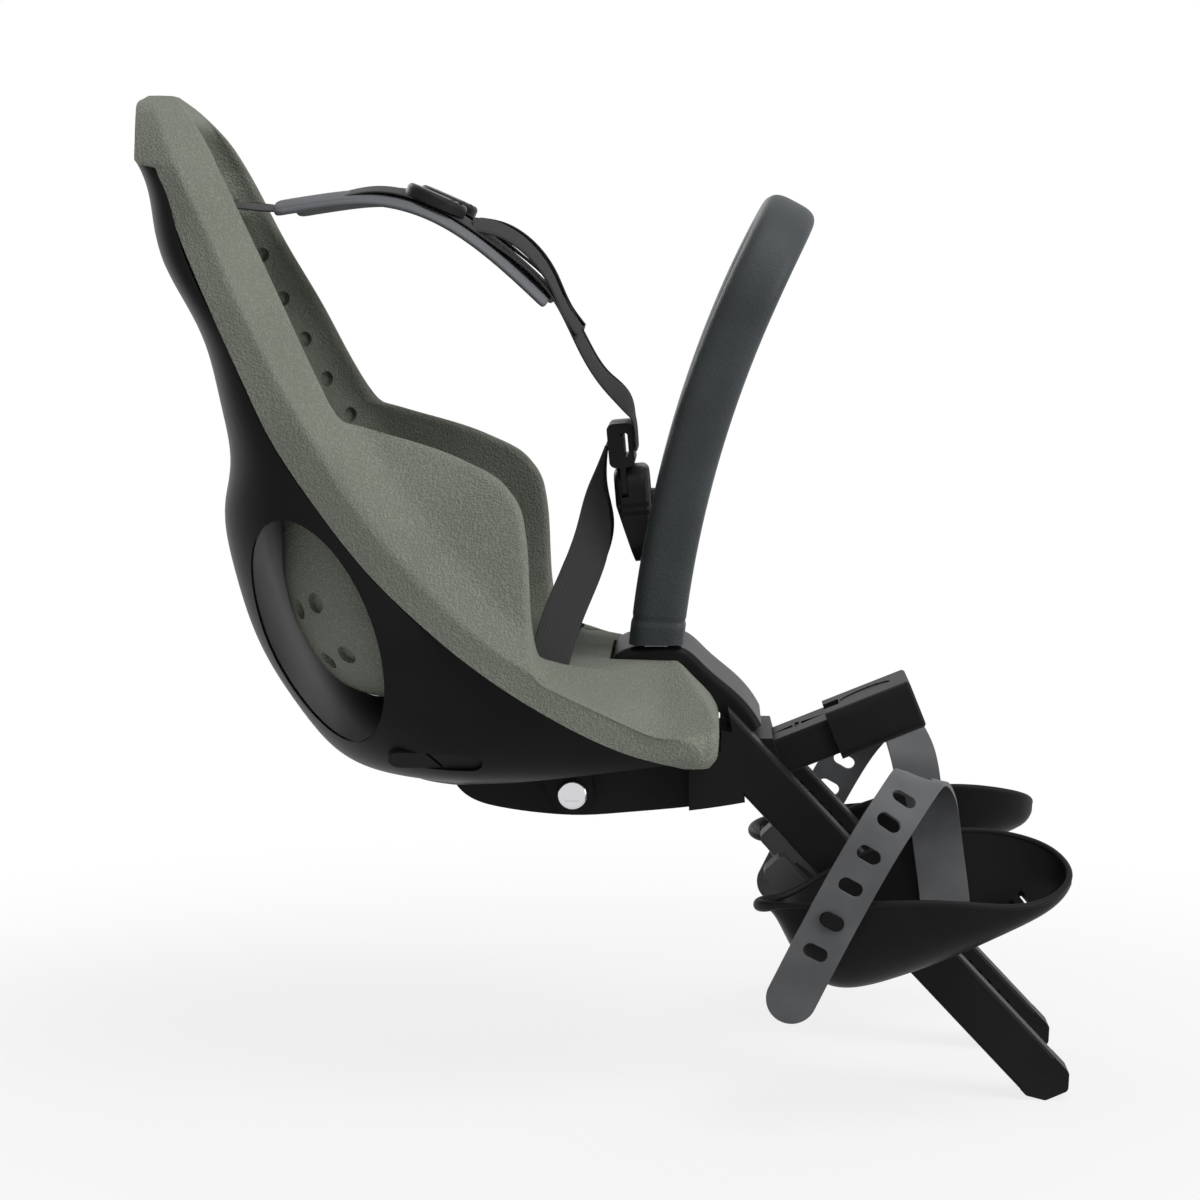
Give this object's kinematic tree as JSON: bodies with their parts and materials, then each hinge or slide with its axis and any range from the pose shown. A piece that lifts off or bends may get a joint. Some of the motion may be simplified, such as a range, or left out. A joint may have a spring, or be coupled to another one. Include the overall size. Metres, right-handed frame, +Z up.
{
  "type": "front child bicycle seat",
  "caption": "Front child seat for a bicycle: foam-lined bucket on a quick-release arm, with a padded hoop handle, five-point harness and sliding foot cups on legs.",
  "frame": {"origin": "middle of the arm's end face, which meets the bicycle's bracket", "axes": "+X forwards, +Y to the seated child's left, +Z up"},
  "size_m": [0.5031, 0.316, 0.5371],
  "materials": {
    "shell_plastic": "satin moulded black",
    "liner_foam": "fine pebbled foam, grey-green",
    "frame_plastic": "fine-grained black",
    "handle_cover": "pebbled padded cover, dark grey",
    "strap_rubber": "smooth soft rubber, mid grey",
    "webbing": "ribbed woven band, black",
    "pad_fabric": "soft quilted cloth, grey",
    "buckle_plastic": "smooth black",
    "button_plastic": "dark grey",
    "lever_plastic": "dark grey",
    "bright_metal": "polished",
    "plain_steel": "zinc plated"
  },
  "bodies": {
    "seat": {"outer_shell": "shell_plastic", "seat_liner": "liner_foam", "mount_base": "frame_plastic", "lock_bolt": "bright_metal", "lock_nut": "bright_metal", "front_console": "shell_plastic", "handle_pad": "handle_cover", "handle_core": "plain_steel", "mount_arm": "frame_plastic", "buckle_body": "buckle_plastic", "crotch_webbing": "webbing", "shoulder_anchor": "plain_steel", "base_screw_1": "plain_steel", "base_screw_2": "plain_steel", "base_screw_3": "plain_steel", "base_screw_4": "plain_steel", "leg_right": "frame_plastic", "leg_left": "frame_plastic", "leg_cap_right": "frame_plastic", "leg_cap_left": "frame_plastic", "cap_pin_right": "plain_steel", "cap_pin_left": "plain_steel", "hip_anchor_right": "frame_plastic", "hip_anchor_left": "frame_plastic", "shoulder_pad_right": "pad_fabric", "shoulder_pad_left": "pad_fabric", "shoulder_webbing_right": "webbing", "shoulder_webbing_left": "webbing", "strap_slider_right": "buckle_plastic", "strap_slider_left": "buckle_plastic", "buckle_tongue_right": "buckle_plastic", "buckle_tongue_left": "buckle_plastic", "hip_webbing_right": "webbing", "hip_webbing_left": "webbing"},
    "sleeve": {"arm_sleeve": "frame_plastic"},
    "button": {"buckle_button": "button_plastic"},
    "foot_right": {"foot_cup_right": "shell_plastic", "foot_strap_right": "strap_rubber", "lever_pin_right": "plain_steel"},
    "lever_right": {"foot_lever_right": "lever_plastic"},
    "foot_left": {"foot_cup_left": "shell_plastic", "foot_strap_left": "strap_rubber", "lever_pin_left": "plain_steel"},
    "lever_left": {"foot_lever_left": "lever_plastic"}
  },
  "joints": [
    {"name": "sleeve_slide", "type": "slide", "parent": "seat", "child": "sleeve", "axis": [0.9272, 0, 0.3746], "range_m": [-0.018, 0]},
    {"name": "button_press", "type": "slide", "parent": "seat", "child": "button", "axis": [0.9962, 0, 0.0872], "range_m": [-0.003, 0], "stiffness_N_per_m": 600, "springref_m": 0.002},
    {"name": "foot_right_slide", "type": "slide", "parent": "seat", "child": "foot_right", "axis": [0.6845, 0, -0.729], "range_m": [-0.039, 0.078]},
    {"name": "lever_right_press", "type": "hinge", "parent": "foot_right", "child": "lever_right", "pos_m": [-0.04457, -0.0525, -0.11118], "axis": [0, 1, 0], "range_deg": [0, 6], "stiffness_Nm_per_rad": 0.6, "springref_deg": -8.59},
    {"name": "foot_left_slide", "type": "slide", "parent": "seat", "child": "foot_left", "axis": [0.6845, 0, -0.729], "range_m": [-0.039, 0.078]},
    {"name": "lever_left_press", "type": "hinge", "parent": "foot_left", "child": "lever_left", "pos_m": [-0.04457, 0.0525, -0.11118], "axis": [0, 1, 0], "range_deg": [0, 6], "stiffness_Nm_per_rad": 0.6, "springref_deg": -8.59}
  ]
}
